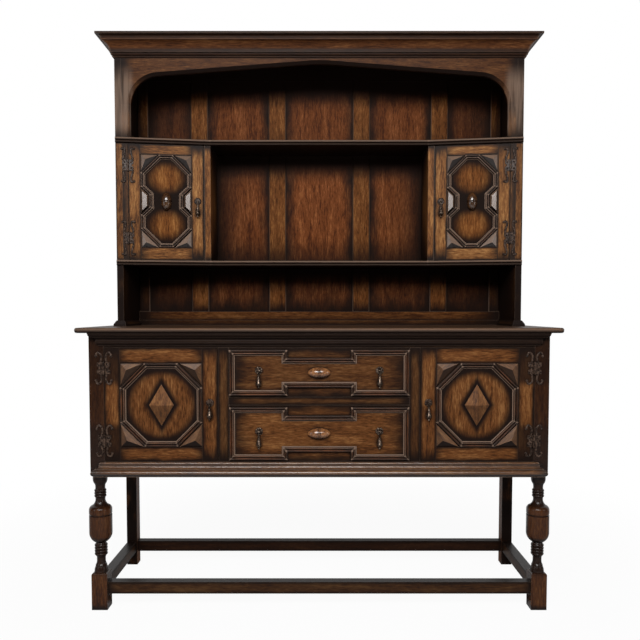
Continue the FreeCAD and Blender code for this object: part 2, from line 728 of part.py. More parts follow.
def leaf_plate(arm, reach, high, start):
    """Hinge leaf to the right of its pin: a notched web with two bosses, and a wound arm up and down."""
    web_x = WEB_SHARE * reach
    plate = box(start, web_x, -HINGE_WEB / 2, HINGE_WEB / 2, 0, LEAF_THICK)
    plate = plate.cut(Part.makeCylinder(WEB_NOTCH_R, LEAF_THICK, V(web_x, 0, 0)))
    boss = Part.makeSphere(WEB_BOSS_R, V((start + web_x) / 2, WEB_BOSS_SHARE * HINGE_WEB, 0))
    upper = boss.fuse(hinge_arm(arm, reach, high / 2))
    plate = plate.fuse(upper).fuse(upper.mirror(V(0, 0, 0), V(0, 1, 0)))
    return plate.common(box(0, 2 * reach, -high, high, 0, reach))


def knuckle(y0, y1):
    return Part.makeCylinder(KNUCKLE_R, y1 - y0, V(0, y0, HINGE_OUT), V(0, 1, 0))


def hinge(arm, reach, high):
    """Door leaf and post leaf of one hinge, with the pin over the origin and the door to the right."""
    start = KNUCKLE_R + KNUCKLE_CLEAR
    half_third = HINGE_WEB / 6
    inner = half_third - KNUCKLE_CLEAR
    pin = Part.makeCylinder(HINGE_PIN_R, HINGE_WEB, V(0, -HINGE_WEB / 2, HINGE_OUT), V(0, 1, 0))
    bore = Part.makeCylinder(HINGE_PIN_R + PIN_CLEAR, HINGE_WEB, V(0, -HINGE_WEB / 2, HINGE_OUT), V(0, 1, 0))
    plate = leaf_plate(arm, reach, high, start)
    door_leaf = plate.fuse(box(0, start, -inner, inner, 0, LEAF_THICK)).fuse(knuckle(-inner, inner)).cut(bore)
    post_leaf = mirrored(plate).fuse(pin)
    for y0, y1 in ((-HINGE_WEB / 2, -half_third), (half_third, HINGE_WEB / 2)):
        post_leaf = post_leaf.fuse(box(-start, 0, y0, y1, 0, LEAF_THICK)).fuse(knuckle(y0, y1))
    for y in (-HINGE_WEB / 2, HINGE_WEB / 2):
        post_leaf = post_leaf.fuse(Part.makeSphere(FINIAL_R, V(0, y, HINGE_OUT)))
    return door_leaf.removeSplitter().Solids[0], post_leaf.removeSplitter().Solids[0]


# Doors and drawers

def moved(shape, x, y, z=0.0):
    copy = shape.copy()
    copy.translate(V(x, y, z))
    return copy


def framed_door(width, height, thick, stile, low_rail, top_rail, ornament):
    """Flat door, hinged at x = 0: stiles, tenoned rails, a panel in grooves and planted ornament."""
    x0 = stile
    x1 = width - stile
    y0 = low_rail
    y1 = height - top_rail
    panel_top = -PANEL_RECESS
    panel_low = panel_top - PANEL_THICK
    panel = box(x0 - GROOVE, x1 + GROOVE, y0 - GROOVE, y1 + GROOVE, panel_low, panel_top)
    stiles = [box(0, x0, 0, height, -thick, 0), box(x1, width, 0, height, -thick, 0)]
    rails = []
    for low, high in ((0, y0), (y1, height)):
        tongue = box(x0 - TENON, x1 + TENON, low + TENON_SHOULDER, high - TENON_SHOULDER, panel_low, panel_top)
        rails.append(box(x0, x1, low, high, -thick, 0).fuse(tongue).cut(panel).removeSplitter().Solids[0])
    for rail in rails:
        stiles = [piece.cut(rail) for piece in stiles]
    stiles = [piece.cut(panel).Solids[0] for piece in stiles]
    planted = [moved(shape, 0, 0, panel_top) for shape in ornament(x0, x1, y0, y1)]
    return {"frame": stiles + rails, "panel": [panel], "ornament": planted}


def door_fittings(door, width, height, stile, arm, reach, high, inset):
    """Hinge leaves on the hinge stile, and a pull on the other stile."""
    door_leaf, post_leaf = hinge(arm, reach, high)
    levels = (inset, height - inset)
    pull_x = width - stile / 2
    pull_y = height / 2 + PULL_RAISE
    door["fittings"] = [moved(door_leaf, -HINGE_GAP / 2, y) for y in levels]
    door["fittings"].append(moved(pull_rose(), pull_x, pull_y))
    door["post_leaves"] = [moved(post_leaf, -HINGE_GAP / 2, y) for y in levels]
    door["drop"] = [moved(pull_drop(), pull_x, pull_y)]
    return door


def base_door():
    width = POST_IN - MUNTIN_OUT - HINGE_GAP - FREE_GAP
    height = LINTEL - SILL - 2 * EDGE_GAP
    door = framed_door(width, height, DOOR_THICK, DOOR_STILE, DOOR_LOW_RAIL, DOOR_TOP_RAIL, octagon_ornament)
    door = door_fittings(door, width, height, DOOR_STILE, HOOK_ARM, HINGE_REACH, HINGE_HIGH, HINGE_INSET)
    return {key: on_base(shapes, HINGE_GAP - POST_IN, SILL + EDGE_GAP) for key, shapes in door.items()}


def rack_door():
    width = (STILE_IN - DIVIDER_OUT) * CANT_LENGTH - HINGE_GAP - FREE_GAP
    height = HIGH_SHELF - SHELF_THICK - MIDDLE_SHELF - 2 * EDGE_GAP
    door = framed_door(width, height, RACK_DOOR_THICK, RACK_DOOR_STILE, RACK_DOOR_LOW_RAIL,
                       RACK_DOOR_TOP_RAIL, waisted_ornament)
    door = door_fittings(door, width, height, RACK_DOOR_STILE, WAVE_ARM, RACK_HINGE_REACH, RACK_HINGE_HIGH,
                         RACK_HINGE_INSET)
    hinge_x = STILE_IN - HINGE_GAP / CANT_LENGTH
    return {key: on_cant(shapes, hinge_x, MIDDLE_SHELF + EDGE_GAP) for key, shapes in door.items()}


def drawer(low, high):
    """Drawer between two levels of its opening: front, box of four boards, ornament and two pulls."""
    width = DRAWER_BAY - 2 * EDGE_GAP
    height = high - low - 2 * EDGE_GAP
    x0 = -width / 2
    z0 = low + EDGE_GAP
    front = box(x0, -x0, FACE, FACE + DRAWER_FRONT, z0, z0 + height)
    y0 = FACE + DRAWER_FRONT
    y1 = FACE + DRAWER_LONG
    outer = BAY_HALF - SIDE_CLEAR
    inner = outer - DRAWER_SIDE
    side_low = low + RUN_CLEAR
    side_high = high - DRAWER_TOP_DROP
    floor_low = side_low + DRAWER_FLOOR_LIFT
    floor = box(-inner - DRAWER_SIDE / 2, inner + DRAWER_SIDE / 2, y0, y1, floor_low, floor_low + DRAWER_FLOOR)
    side = box(inner, outer, y0, y1, side_low, side_high).cut(floor)
    back = box(-inner, inner, y1 - DRAWER_BACK, y1, floor_low + DRAWER_FLOOR, side_high)
    pull_y = height / 2 + PULL_RAISE
    pulls = [width / 2 - DRAWER_PULL_X, width / 2 + DRAWER_PULL_X]
    return {
        "front": [front],
        "box": both_sides(side) + [back, floor],
        "ornament": on_base(notched_ornament(width, height), x0, z0),
        "roses": on_base([moved(pull_rose(), x, pull_y) for x in pulls], x0, z0),
        "drop_left": on_base([moved(pull_drop(), pulls[0], pull_y)], x0, z0),
        "drop_right": on_base([moved(pull_drop(), pulls[1], pull_y)], x0, z0),
    }


# Rack

def rack_end():
    """Right end board, bevelled to the cant beside the cupboard."""
    board = box(RACK_IN, RACK_HALF, RACK_FACE, BACK, TOP_HEIGHT, ROOF_LOW)
    wedge = prism([(RACK_HALF, RACK_FACE), (RACK_IN, RACK_FACE), (RACK_IN, cant_y(RACK_IN))],
                  MIDDLE_SHELF - SHELF_THICK, HIGH_SHELF)
    return board.cut(wedge)


def rack_foot():
    """Moulding round the foot of the right end board."""
    def outline(reach_in, reach_out, reach_front):
        return [(RACK_IN - reach_in, RACK_FACE - reach_front), (RACK_HALF + reach_out, RACK_FACE - reach_front),
                (RACK_HALF + reach_out, BACK), (RACK_IN - reach_in, BACK)]
    top = [point + (FOOT_HIGH,) for point in outline(FOOT_TOP_OUT, FOOT_TOP_OUT, FOOT_TOP_OUT)]
    foot = gem(outline(FOOT_IN, FOOT_OUT, FOOT_IN), FOOT_BASE, top)
    foot.translate(V(0, 0, TOP_HEIGHT))
    foot = foot.cut(box(RACK_IN, RACK_HALF, RACK_FACE, BACK, TOP_HEIGHT, TOP_HEIGHT + FOOT_HIGH))
    back_corner = box(0, RACK_IN, BACK_FRONT - SKIRTING_THICK, BACK, TOP_HEIGHT, TOP_HEIGHT + FOOT_HIGH)
    return foot.cut(back_corner).Solids[0]


def shelf(top):
    """Shelf board with its canted outline, and the nosing planted on its front."""
    low = top - SHELF_THICK
    right = [(RACK_IN, BACK_FRONT), (RACK_IN, cant_y(RACK_IN)), (NICHE_HALF, cant_y(NICHE_HALF))]
    left = [(-x, y) for x, y in reversed(right)]
    board = prism(right + left, low, top)
    edge = [(RACK_HALF, RACK_FACE), (NICHE_HALF, cant_y(NICHE_HALF)),
            (-NICHE_HALF, cant_y(NICHE_HALF)), (-RACK_HALF, RACK_FACE)]
    nosing = mitred_runs(edge, scaled_profile(NOSE, NOSING, SHELF_THICK), False)
    return [board] + [moved(run, 0, 0, low) for run in nosing]


def cupboard_stile():
    """Right stile that carries the hinges of a canted door."""
    lean = math.radians(CANT_ANGLE)
    back_x = STILE_IN + RACK_DOOR_THICK * math.sin(lean)
    back_y = cant_y(STILE_IN) + RACK_DOOR_THICK * math.cos(lean)
    outline = [(RACK_IN, cant_y(RACK_IN)), (RACK_IN, back_y), (back_x, back_y), (STILE_IN, cant_y(STILE_IN))]
    return prism(outline, MIDDLE_SHELF, HIGH_SHELF - SHELF_THICK)


def cupboard_partition():
    outline = [(NICHE_HALF, cant_y(NICHE_HALF)), (DIVIDER_OUT, cant_y(DIVIDER_OUT)),
               (DIVIDER_OUT, BACK_FRONT), (NICHE_HALF, BACK_FRONT)]
    return prism(outline, MIDDLE_SHELF, HIGH_SHELF - SHELF_THICK)


def arch_outline(widen, y):
    """Wire of the arched opening, widened evenly, from the spring line up to the apex and down."""
    slope = math.radians(ARCH_SLOPE)
    side = RACK_IN - ARCH_POST + widen
    radius = ARCH_CORNER_R + widen
    centre_x = RACK_IN - ARCH_POST - ARCH_CORNER_R
    apex_r = ARCH_APEX_R + widen
    knee = (centre_x + radius * math.sin(slope), ARCH_SPRING + radius * math.cos(slope))
    half_turn = math.pi / 4 + slope / 2
    bend = (centre_x + radius * math.sin(half_turn), ARCH_SPRING + radius * math.cos(half_turn))
    crown_x = apex_r * math.sin(slope)
    crown_z = knee[1] + (knee[0] - crown_x) * math.tan(slope)
    apex_z = crown_z + apex_r * (1 - math.cos(slope))

    def at(x, z):
        return V(x, y, z)

    edges = [Part.Arc(at(side, ARCH_SPRING), at(*bend), at(*knee)).toShape(),
             Part.makeLine(at(*knee), at(crown_x, crown_z)),
             Part.Arc(at(crown_x, crown_z), at(0, apex_z), at(-crown_x, crown_z)).toShape(),
             Part.makeLine(at(-crown_x, crown_z), at(-knee[0], knee[1])),
             Part.Arc(at(-knee[0], knee[1]), at(-bend[0], bend[1]), at(-side, ARCH_SPRING)).toShape(),
             Part.makeLine(at(-side, ARCH_SPRING), at(side, ARCH_SPRING))]
    return Part.Wire(edges)


def arch_head():
    """Board above the spring line, cut to a four-centred arch with a splayed edge."""
    board = box(-RACK_IN, RACK_IN, RACK_FACE, RACK_FACE + ARCH_THICK, ARCH_SPRING, ROOF_LOW)
    opening = Part.Face(arch_outline(0, RACK_FACE)).extrude(V(0, ARCH_THICK, 0))
    splay = Part.makeLoft([arch_outline(ARCH_EDGE, RACK_FACE),
                           arch_outline(0, RACK_FACE + ARCH_EDGE_DEEP)], True, True)
    return board.cut(opening).cut(splay).Solids[0]


def arch_post():
    """Right post under the arch, with the same splayed edge."""
    inner = RACK_IN - ARCH_POST
    outline = [(RACK_IN, RACK_FACE), (RACK_IN, RACK_FACE + ARCH_THICK), (inner, RACK_FACE + ARCH_THICK),
               (inner, RACK_FACE + ARCH_EDGE_DEEP), (inner + ARCH_EDGE, RACK_FACE)]
    return prism(outline, HIGH_SHELF, ARCH_SPRING)


def cornice():
    path = [(RACK_HALF, BACK), (RACK_HALF, RACK_FACE), (-RACK_HALF, RACK_FACE), (-RACK_HALF, BACK)]
    runs = mitred_runs(path, scaled_profile(CORNICE, CORNICE_REACH, CORNICE_HIGH), False)
    return [moved(run, 0, 0, RACK_HEIGHT - CORNICE_HIGH) for run in runs]


def rack_back():
    """Frame and panels of the back: rails, stiles and beaded muntins, with a panel in each bay."""
    low = TOP_HEIGHT + BACK_LOW_RAIL
    high = ROOF_LOW - BACK_TOP_RAIL
    rails = [box(-RACK_IN, RACK_IN, BACK_FRONT, BACK, TOP_HEIGHT, low),
             box(-RACK_IN, RACK_IN, BACK_FRONT, BACK, high, ROOF_LOW)]
    half = BACK_MUNTIN / 2
    spans = [(-RACK_IN, BACK_STILE - RACK_IN)]
    spans += [(x - half, x + half) for x in (-OUTER_MUNTIN_X, -INNER_MUNTIN_X, INNER_MUNTIN_X, OUTER_MUNTIN_X)]
    spans.append((RACK_IN - BACK_STILE, RACK_IN))
    uprights = []
    for x0, x1 in spans:
        outline = [(x0, BACK), (x0, BACK_FRONT + BACK_BEAD), (x0 + BACK_BEAD, BACK_FRONT),
                   (x1 - BACK_BEAD, BACK_FRONT), (x1, BACK_FRONT + BACK_BEAD), (x1, BACK)]
        uprights.append(prism(outline, low, high))
    panel_y = BACK_FRONT + (BACK_THICK - BACK_PANEL) / 2
    panels = []
    for left, right in zip(spans[:-1], spans[1:]):
        panels.append(box(left[1] - GROOVE, right[0] + GROOVE, panel_y, panel_y + BACK_PANEL,
                          low - GROOVE, high + GROOVE))
    frame = []
    for piece in rails + uprights:
        for panel in panels:
            piece = piece.cut(panel)
        frame.append(piece.Solids[0])
    return frame, panels


def skirting():
    """Strip along the foot of the back, between the foot mouldings."""
    return box(-RACK_IN, RACK_IN, BACK_FRONT - SKIRTING_THICK, BACK_FRONT,
               TOP_HEIGHT, TOP_HEIGHT + SKIRTING_HIGH)


# Writing the pieces

os.makedirs("parts", exist_ok=True)

side_bar = side_stretcher()
right_leg = front_leg([front_stretcher(), side_bar])
write("countertop", [countertop()])
write("frieze_moulding", [returned_moulding(scaled_profile(FRIEZE, FRIEZE_REACH, FRIEZE_HIGH),
                                            HALF_BODY - FRIEZE_REACH - FRIEZE_MARGIN, FACE,
                                            BODY_TOP - FRIEZE_HIGH)])
write("base_moulding", [returned_moulding(scaled_profile(PLINTH, PLINTH_REACH, PLINTH_HIGH),
                                          HALF_BODY - PLINTH_REACH - PLINTH_MARGIN, FACE,
                                          BODY_BOTTOM)])
write("front_leg_right", [right_leg])
write("front_leg_left", [mirrored(right_leg)])
write("back_legs", both_sides(back_leg([back_stretcher(), side_bar])))
write("front_stretcher", [front_stretcher()])
write("back_stretcher", [back_stretcher()])
write("side_stretchers", both_sides(side_bar))
write("front_frame", front_frame())
write("base_ends", [piece for solid in base_end() for piece in both_sides(solid)])
write("floor_board", [floor_board()])
write("base_partitions", both_sides(partition()))
write("drawer_runners", [piece for solid in drawer_runners() for piece in both_sides(solid)])
write("base_back", [base_back()])

write("rack_end_right", [rack_end()])
write("rack_end_left", [mirrored(rack_end())])
write("rack_foot_mouldings", both_sides(rack_foot()))
write("rack_roof", [box(-RACK_HALF, RACK_HALF, RACK_FACE, BACK, ROOF_LOW, RACK_HEIGHT)])
write("cornice", cornice())
write("arch_head", [arch_head()])
write("rack_stiles", both_sides(arch_post()) + both_sides(cupboard_stile()))
write("top_shelf", shelf(HIGH_SHELF))
write("middle_shelf", shelf(MIDDLE_SHELF))
write("cupboard_partitions", both_sides(cupboard_partition()))
back_frame, back_panels = rack_back()
write("back_frame", back_frame + [skirting()])
write("back_panels", back_panels)

post_leaves = []
for kind, left_door in (("base", base_door()), ("rack", rack_door())):
    right_door = {key: [mirrored(shape) for shape in shapes] for key, shapes in left_door.items()}
    post_leaves += left_door["post_leaves"] + right_door["post_leaves"]
    for side, door in (("left", left_door), ("right", right_door)):
        for key in ("frame", "panel", "ornament", "fittings", "drop"):
            write(kind + "_door_" + side + "_" + key, door[key])
write("hinge_post_leaves", post_leaves)

for name, low, high in (("upper", DIVIDER_HIGH, LINTEL), ("lower", SILL, DIVIDER_LOW)):
    for key, shapes in drawer(low, high).items():
        write(name + "_drawer_" + key, shapes)
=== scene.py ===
import json
import math

import bpy
import numpy as np
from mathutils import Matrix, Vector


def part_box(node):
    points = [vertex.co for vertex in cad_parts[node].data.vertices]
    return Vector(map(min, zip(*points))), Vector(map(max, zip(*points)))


# Looks of the oak dresser: shaded antique oak on every board, cast bronze fittings, soft studio light.

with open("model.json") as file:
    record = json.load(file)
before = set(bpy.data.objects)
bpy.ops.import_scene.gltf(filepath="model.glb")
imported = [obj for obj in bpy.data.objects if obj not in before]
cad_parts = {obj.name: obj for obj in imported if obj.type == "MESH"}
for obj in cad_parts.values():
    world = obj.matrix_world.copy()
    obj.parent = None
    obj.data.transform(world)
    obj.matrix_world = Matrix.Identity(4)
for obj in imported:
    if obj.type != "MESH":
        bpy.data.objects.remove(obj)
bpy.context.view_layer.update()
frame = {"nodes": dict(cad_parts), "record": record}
nodes = frame["nodes"]
slot_of = {part["node"]: part["material_slot"] for part in frame["record"]["subparts"]}

# Camera, fitted to the photograph
FRAME_PIXELS = 640
FOCAL_PIXELS = 701.9
SENSOR = 36.0
CAMERA_AT = (0.0025, -2.405, 0.951)
CAMERA_DOWN = 2.81
CENTRE_SHIFT = 26.5

# Oak colours, linear
# Dark colour of stain, and also of painted shade in hollows, in bays and under things
STAIN_AND_SHADE = (0.0095, 0.0050, 0.0036)
OAK_DEEP = (0.058, 0.020, 0.0060)
OAK_MIDDLE = (0.165, 0.062, 0.0170)
OAK_PALE = (0.320, 0.150, 0.0500)
# Pale colour of abraded arrises, also used for painted highlights and painted sheen
OAK_WORN_AND_SHEEN = (0.170, 0.112, 0.0800)

# Oak grain: noise scales along, across and through a board, and the noise levels where a tone changes
FIGURE = (5.0, 36.0, 36.0)
STREAK = (42.0, 250.0, 250.0)
PORES = (45.0, 620.0, 620.0)
CLOUD = (14.0, 26.0, 26.0)
CLOUD_MEAN = 0.5
SEED_SHIFT = (31.7, 17.3, 9.1)
NODE_SEED_STEP = 0.619
SOLID_SEED_STEP = 0.383
FIGURE_SHARE = 0.45
DEEP_TO_MIDDLE = (0.38, 0.51)
MIDDLE_TO_PALE = (0.49, 0.64)
PORE_RANGE = (0.42, 0.30)
PORE_STAIN = 0.5

# Oak surface: open share of a hollow, way a face looks, roughness, and strength and depth of the relief
# The open share of a hollow and the way a face looks set painted shade and painted light
OPEN_RANGE = (0.5, 0.98)
OPEN_CLOUD = 0.25
HOLLOW_SAMPLES = 8
TOP_RANGE = (0.6, 0.9)
FRONT_RANGE = (-0.1, -0.6)
ROUGH_SPREAD = 0.18
STREAK_RELIEF = 0.5
OAK_RELIEF = (0.2, 0.0003)

# Bronze colours, linear, and its patina
BRONZE_DEEP = (0.030, 0.020, 0.015)
BRONZE_PALE = (0.170, 0.122, 0.090)
HINGE_DEEP = (0.013, 0.0075, 0.0054)
HINGE_PALE = (0.085, 0.0520, 0.0360)
PATINA = (180.0, 180.0, 180.0)
PATINA_THIN = (0.4, 0.65)
BRONZE_ROUGH = 0.18
BRONZE_ROUGH_SPREAD = 0.3
BRONZE_RELIEF = (0.3, 0.0005)

# Polished fields on the door panels, in metres, with their fades as shares of the half size
DOOR_GLOW = (0.112, 0.084)
LOZENGE_HALF = (0.065, 0.0385)
# Halo round the lozenge: stain, and painted shade of the raised lozenge
LOZENGE_HALO = (1.15, 1.7)
RACK_GLOW_RISE = 0.081
RACK_GLOW_SIZE = (0.043, 0.050)
RACK_GLOW_FADE = (1.45, 0.45)

# Legs: levels in metres, and shares of light
BLOCK_TOP = (0.125, 0.105)
BULB_MIDDLE = 0.272
BULB_WINDOW = (0.066, 0.048)
POST_FOOT = (0.420, 0.440)
POST_LIGHT = 0.4
# Painted shade on the necks of the legs, and painted light on the front faces of the back legs
NECK_LIGHT = 0.15
BACK_LEG_LIGHT = 0.3

# Hinge sides of the fronts: distance from the middle line, window between the hinges, share of stain
HINGE_SIDE = (0.612, 0.640)
BASE_HINGE_WINDOW = (0.050, 0.080)
BASE_HINGE_STAIN = 0.85
RACK_HINGE_WINDOW = (0.040, 0.070)
RACK_HINGE_STAIN = 0.2

# Shelves, bays and cornice: depths of the shadows below the top of each bay, windows, and shares of light
BAY_SHADOWS = ((0.106, 0.016), (0.118, 0.033), (0.192, 0.107))
BAY_CUT = 0.005
NICHE_RISE = 0.105
NICHE_SIDE = (0.280, 0.390)
NICHE_DIM = 0.6
# Painted light on the upper half of each shelf edge, painted shade below it
SHELF_WINDOW = (0.0110, 0.0085)
SHELF_LIGHT = 0.15
COVE_DEPTH = 0.031
COVE_WINDOW = (0.017, 0.007)
FILLET_LIGHT = 0.2

# Sheen on the upper posts of the rack: sides and levels in metres, and its streaks
SHEEN_SIDE = (0.625, 0.650)
SHEEN_FOOT = (1.540, 1.600)
SHEEN_HEAD = (1.800, 1.720)
SHEEN_STREAK = (70.0, 70.0, 5.0)
SHEEN_RANGE = (0.2, 0.6)

# Studio: floor in metres with its shares of white, light of the world, and lamps in metres and watts
WHITE = (1.0, 1.0, 1.0, 1.0)
FLOOR_HALF = 12.0
FLOOR_DROP = 0.0005
FLOOR_CLOUD = (2.0, 2.0, 2.0)
FLOOR_DULL = (0.86, 0.86, 0.86)
FLOOR_PALE = (0.90, 0.90, 0.90)
FLOOR_BOUNCE = (0.65, 0.65, 0.65)
FLOOR_WHITE = 0.95
FLOOR_FADE = (0.7, 2.2)
FLOOR_BEHIND = (0.0, 1.0)
WORLD_BEHIND = (-0.1, 0.5)
WORLD_FILL = 0.035
LAMPS = {
    "key": {"place": (-0.2, -3.0, 2.5), "target": (0.0, 0.0, 1.0), "size": (2.4, 1.0), "power": 120.0},
    "left": {"place": (-2.8, -2.0, 1.3), "target": (0.0, 0.0, 0.9), "size": (1.0, 1.6), "power": 12.0},
    "right": {"place": (2.8, -2.0, 1.3), "target": (0.0, 0.0, 0.9), "size": (1.0, 1.6), "power": 12.0},
}

# Boards: grain direction of an upright lozenge, and limits for telling directions, edges and points apart
UPRIGHT = np.array([(0.0, 0.0, 1.0), (1.0, 0.0, 0.0), (0.0, 1.0, 0.0)])
DIRECTION_STEPS = 40
POINT_STEPS = 1e6
FLAT_EDGE = 0.9999
SIDE_LIMIT = 0.2
TINY_AREA = 1e-12
TRIANGLE_SIDES = ((0, 1), (1, 2), (2, 0))

# Colour sockets of a mix node
MIX_FIRST = 6
MIX_SECOND = 7
MIX_RESULT = 2


# Levels from the frame

def middle_level(name):
    low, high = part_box(name)
    return (low.z + high.z) / 2


SHELVES = ("middle_shelf", "top_shelf")
SHELF_TOPS = [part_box(name)[1].z for name in SHELVES]
SHELF_MIDDLES = [middle_level(name) for name in SHELVES]
CORNICE_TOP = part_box("cornice")[1].z
COVE_MIDDLE = CORNICE_TOP - COVE_DEPTH
BAY_TOPS = (*SHELF_MIDDLES, CORNICE_TOP)
BASE_HINGE_MIDDLE = middle_level("base_door_left_frame")
RACK_HINGE_MIDDLE = middle_level("rack_door_left_frame")


# Node trees

def add_node(tree, kind, inputs=None, **settings):
    """New node with its settings, and a socket or a value on each named input."""
    node = tree.nodes.new(kind)
    for key, value in settings.items():
        setattr(node, key, value)
    for key, value in (inputs or {}).items():
        if isinstance(value, bpy.types.NodeSocket):
            tree.links.new(value, node.inputs[key])
        else:
            node.inputs[key].default_value = value
    return node


def calc(tree, operation, *values):
    return add_node(tree, "ShaderNodeMath", dict(enumerate(values)), operation=operation).outputs[0]


def vector_calc(tree, operation, *values):
    return add_node(tree, "ShaderNodeVectorMath", dict(enumerate(values)), operation=operation).outputs[0]


def product(tree, first, *others):
    for other in others:
        first = calc(tree, "MULTIPLY", first, other)
    return first


def dimmed(tree, where, share=1.0):
    """1, less that share wherever the other value is 1."""
    return calc(tree, "MULTIPLY_ADD", where, -share, 1.0)


def at_least(tree, light, least):
    """Light from 0 to 1, squeezed so that it runs from the least light to 1."""
    return calc(tree, "MULTIPLY_ADD", light, 1.0 - least, least)


def away(tree, value, middle=0.0):
    """Distance of a value from a middle one."""
    return calc(tree, "ABSOLUTE", calc(tree, "SUBTRACT", value, middle))


def distance_from(tree, x, y):
    return calc(tree, "SQRT", calc(tree, "MULTIPLY_ADD", x, x, calc(tree, "MULTIPLY", y, y)))


def smooth_step(tree, value, low, high):
    """0 below low, 1 above high, and a smooth slope between; high below low turns it round."""
    inputs = {"Value": value, "From Min": low, "From Max": high}
    return add_node(tree, "ShaderNodeMapRange", inputs, interpolation_type="SMOOTHSTEP").outputs["Result"]


def noise(tree, vector, scales, detail, roughness=0.55, distortion=0.0):
    """Noise stretched by a scale for each axis."""
    inputs = {"Vector": vector_calc(tree, "MULTIPLY", vector, scales), "Scale": 1.0, "Detail": detail,
              "Roughness": roughness, "Distortion": distortion}
    return add_node(tree, "ShaderNodeTexNoise", inputs).outputs["Fac"]


def blend_colour(tree, share, first, second):
    """First colour where the share is 0, second where it is 1."""
    first, second = (value if isinstance(value, bpy.types.NodeSocket) else (*value, 1.0)
                     for value in (first, second))
    inputs = {"Factor": share, MIX_FIRST: first, MIX_SECOND: second}
    return add_node(tree, "ShaderNodeMix", inputs, data_type="RGBA").outputs[MIX_RESULT]


def separate(tree, vector):
    return add_node(tree, "ShaderNodeSeparateXYZ", {0: vector}).outputs


def attribute(tree, name, output="Vector"):
    return add_node(tree, "ShaderNodeAttribute", attribute_name=name).outputs[output]


def rest_point(tree):
    """Point in the shared frame, at rest."""
    return add_node(tree, "ShaderNodeTexCoord").outputs["Object"]


def rest_place(tree):
    return separate(tree, rest_point(tree))


def board_place(tree):
    """Place of a point along, across and through its board, from the middle."""
    return separate(tree, attribute(tree, "board"))


def hollow(tree, distance, inside=False):
    """Open share of the space round a point; inside, the solid share under it, less near an arris."""
    return add_node(tree, "ShaderNodeAmbientOcclusion", {"Distance": distance}, samples=HOLLOW_SAMPLES,
                    inside=inside, only_local=inside).outputs["AO"]


def new_material(name):
    material = bpy.data.materials.new(name)
    material.use_nodes = True
    tree = material.node_tree
    return material, tree, tree.nodes["Principled BSDF"]


def dress(tree, shader, colour, rough, height, relief, shine):
    """Colour, roughness, relief and shine on a shader."""
    strength, depth = relief
    bump = add_node(tree, "ShaderNodeBump", {"Height": height, "Strength": strength, "Distance": depth})
    tree.links.new(colour, shader.inputs["Base Color"])
    tree.links.new(rough, shader.inputs["Roughness"])
    tree.links.new(bump.outputs["Normal"], shader.inputs["Normal"])
    shader.inputs["Specular IOR Level"].default_value = shine


# Glows: the share of light that stain, painted shade and painted light leave on a board

def facing_front(tree):
    """1 on faces that look to the front of the dresser at rest, 0 on the others."""
    way = separate(tree, add_node(tree, "ShaderNodeTexCoord").outputs["Normal"])
    return smooth_step(tree, way["Y"], *FRONT_RANGE)


def on_front(tree, light):
    """Light share kept on front faces only; the other faces stay fully light."""
    return dimmed(tree, product(tree, dimmed(tree, light), facing_front(tree)))


def level_window(tree, middle, window):
    """0 beyond the outer distance from a level, 1 within the inner one."""
    return smooth_step(tree, away(tree, rest_place(tree)["Z"], middle), *window)


def door_glow(tree):
    """Round polished field in the middle of a door panel, with stain and painted shade close round the
    lozenge.
    """
    at = board_place(tree)
    field = smooth_step(tree, distance_from(tree, at["X"], at["Y"]), *DOOR_GLOW)
    along = calc(tree, "DIVIDE", away(tree, at["X"]), LOZENGE_HALF[0])
    across = calc(tree, "DIVIDE", away(tree, at["Y"]), LOZENGE_HALF[1])
    halo = smooth_step(tree, calc(tree, "ADD", along, across), *LOZENGE_HALO)
    return on_front(tree, product(tree, field, halo))


def rack_glow(tree):
    """Two oval polished fields, above and below the middle of a rack door panel."""
    at = board_place(tree)
    rise = calc(tree, "SUBTRACT", away(tree, at["X"]), RACK_GLOW_RISE)
    along = calc(tree, "DIVIDE", rise, RACK_GLOW_SIZE[0])
    across = calc(tree, "DIVIDE", at["Y"], RACK_GLOW_SIZE[1])
    return on_front(tree, smooth_step(tree, distance_from(tree, along, across), *RACK_GLOW_FADE))


def hinge_shade(tree, middle, window, stain):
    """Dark stain at the hinge side of the front, with a lighter window between the two hinges."""
    place = rest_place(tree)
    side = smooth_step(tree, away(tree, place["X"]), *HINGE_SIDE)
    beyond = smooth_step(tree, away(tree, place["Z"], middle), *window)
    return dimmed(tree, product(tree, side, beyond), stain)


def base_hinge_shade(tree):
    return hinge_shade(tree, BASE_HINGE_MIDDLE, BASE_HINGE_WINDOW, BASE_HINGE_STAIN)


def rack_hinge_shade(tree):
    return hinge_shade(tree, RACK_HINGE_MIDDLE, RACK_HINGE_WINDOW, RACK_HINGE_STAIN)


def leg_glow(tree):
    """Light bulb and foot block, a dimmer post beside the doors, and necks darkened by painted shade."""
    level = rest_place(tree)["Z"]
    bulb = level_window(tree, BULB_MIDDLE, BULB_WINDOW)
    block = smooth_step(tree, level, *BLOCK_TOP)
    post = product(tree, smooth_step(tree, level, *POST_FOOT), base_hinge_shade(tree), POST_LIGHT)
    return at_least(tree, calc(tree, "MAXIMUM", calc(tree, "MAXIMUM", bulb, block), post), NECK_LIGHT)


def back_leg_glow(tree):
    """Painted light on the front faces of the back legs, which stand in shade; the other faces stay darker.
    """
    return at_least(tree, facing_front(tree), BACK_LEG_LIGHT)


def cornice_glow(tree):
    """Brown cove between darker fillets."""
    return at_least(tree, level_window(tree, COVE_MIDDLE, COVE_WINDOW), FILLET_LIGHT)


